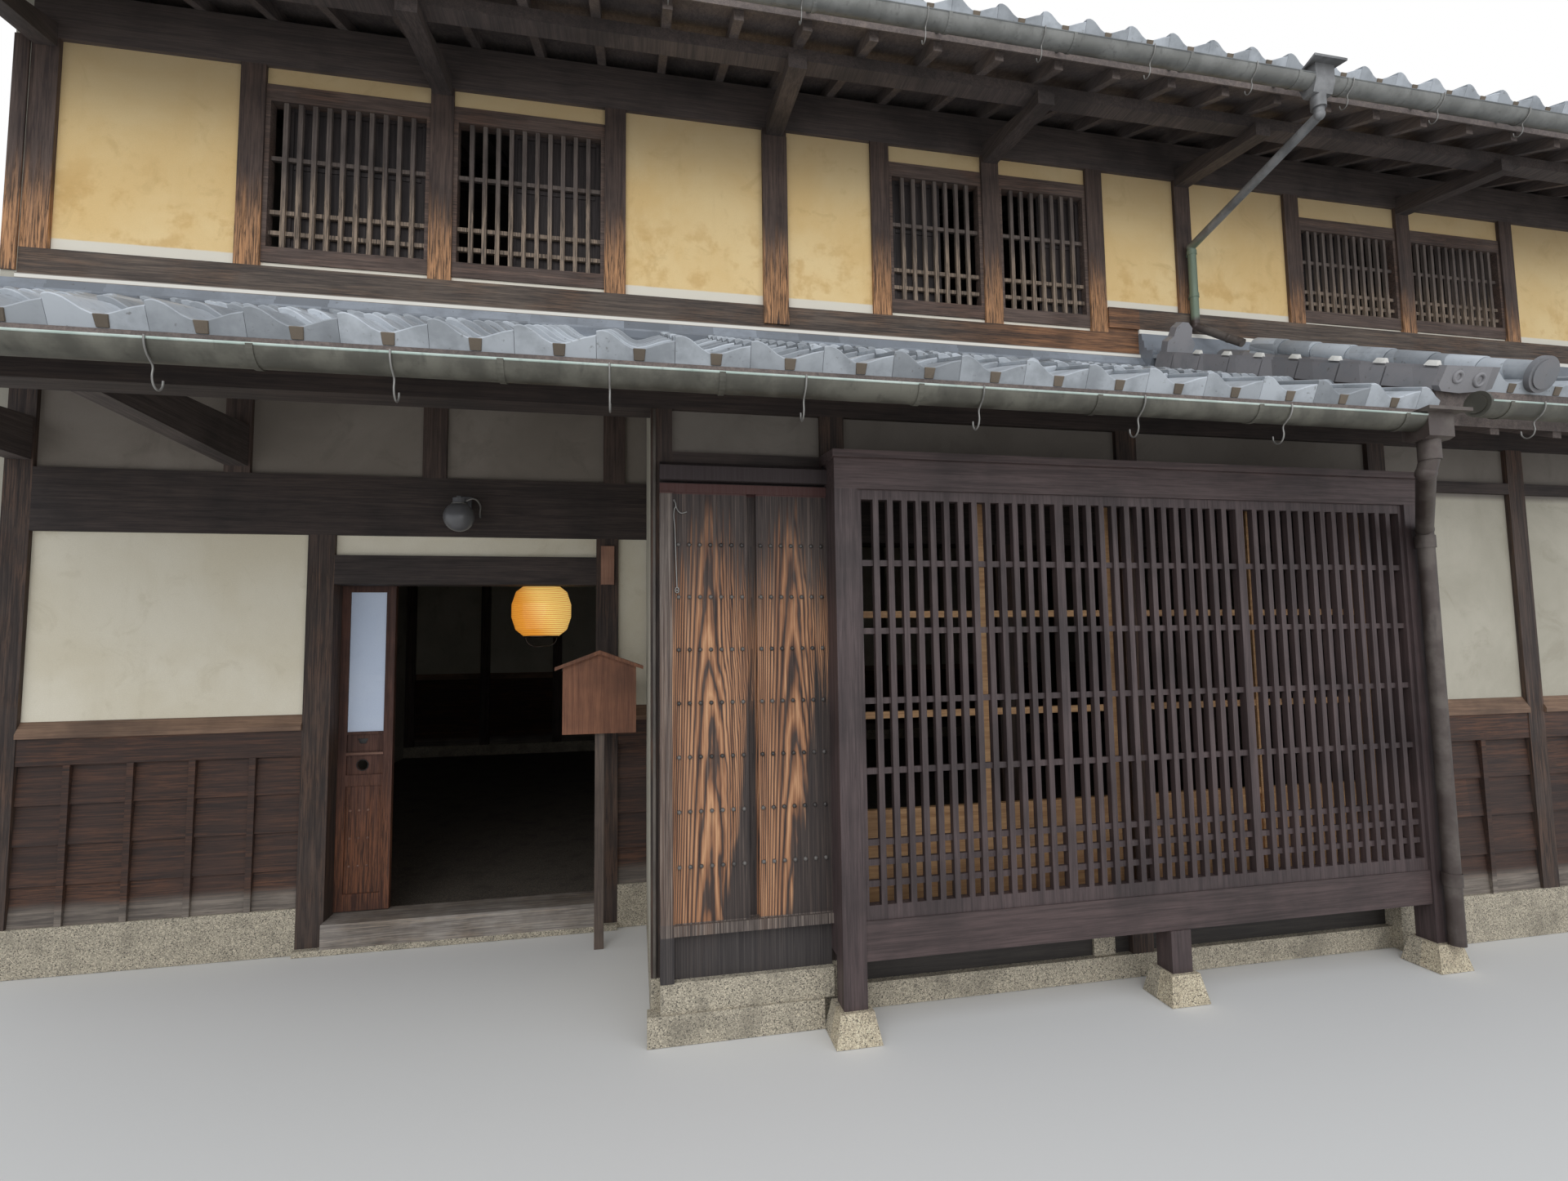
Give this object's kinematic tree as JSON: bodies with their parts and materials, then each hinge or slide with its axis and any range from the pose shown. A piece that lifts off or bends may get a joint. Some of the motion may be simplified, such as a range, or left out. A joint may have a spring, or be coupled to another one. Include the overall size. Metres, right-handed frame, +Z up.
{
  "type": "machiya townhouse",
  "caption": "Two-storey wooden machiya townhouse with a lattice bay, shutter box, sliding entrance door, tiled lean-to roof and barred upper windows.",
  "frame": {"origin": "middle of the underside of the whole house with its eaves", "axes": "+X along the front, to the right as seen from the street; +Y from the street to the rear; +Z up"},
  "size_m": [11.6196, 10.075, 7.1471],
  "materials": {
    "earth_floor": "rough rammed earth",
    "floor_boards": "worn boards",
    "granite": "rough speckled granite",
    "old_wood": "weathered",
    "dark_wood": "dark stained, worn",
    "siding_boards": "charred and weathered boards",
    "grey_plaster": "matte lime plaster",
    "ochre_plaster": "matte earthen plaster",
    "side_plaster": "matte lime plaster",
    "door_wood": "worn",
    "light_wood": "planed",
    "stained_wood": "even dark stain",
    "roof_boards": "rough boards",
    "roof_tile": "silver-grey fired clay tile",
    "gutter_metal": "aged bronze-green coat",
    "grey_wood": "weathered grey",
    "lamp_white": "opal",
    "sign_wood": "weathered"
  },
  "bodies": {
    "house": {"ground_floor": "earth_floor", "upper_floor": "floor_boards", "stone_base": "granite", "threshold": "old_wood", "entry_posts": "dark_wood", "entry_boards": "siding_boards", "entry_plaster": "grey_plaster", "door_head": "dark_wood", "lintel_beam": "dark_wood", "return_wall": "grey_plaster", "front_frame": "dark_wood", "front_rail": "dark_wood", "front_plaster": "grey_plaster", "front_boards": "siding_boards", "inner_screens": "light_wood", "shutter_box": "siding_boards", "lattice_posts": "stained_wood", "bay_beam": "stained_wood", "bay_ends": "stained_wood", "bay_header": "stained_wood", "bay_lattice": "stained_wood", "eaves_beam": "dark_wood", "eaves_arms": "dark_wood", "lower_rafters": "dark_wood", "lower_deck": "roof_boards", "lower_tiles_left": "roof_tile", "lower_tiles_right": "roof_tile", "verge_tiles": "roof_tile", "wall_flashing": "roof_tile", "gutters": "gutter_metal", "downpipes": "gutter_metal", "sill_beam": "old_wood", "wall_posts": "dark_wood", "transom_panels": "grey_plaster", "upper_panels": "ochre_plaster", "window_frames": "dark_wood", "window_bars": "grey_wood", "wall_plates": "dark_wood", "upper_arms": "dark_wood", "upper_rafters": "dark_wood", "upper_deck": "roof_boards", "upper_tiles": "roof_tile", "ridge_tiles": "roof_tile", "party_walls": "side_plaster", "rear_wall": "grey_plaster", "lamps": "lamp_white", "sign_boards": "sign_wood"},
    "door": {"door_leaf": "door_wood"}
  },
  "joints": [
    {"name": "entrance_door", "type": "slide", "parent": "house", "child": "door", "axis": [1, 0, 0], "range_m": [0, 1.13]}
  ]
}
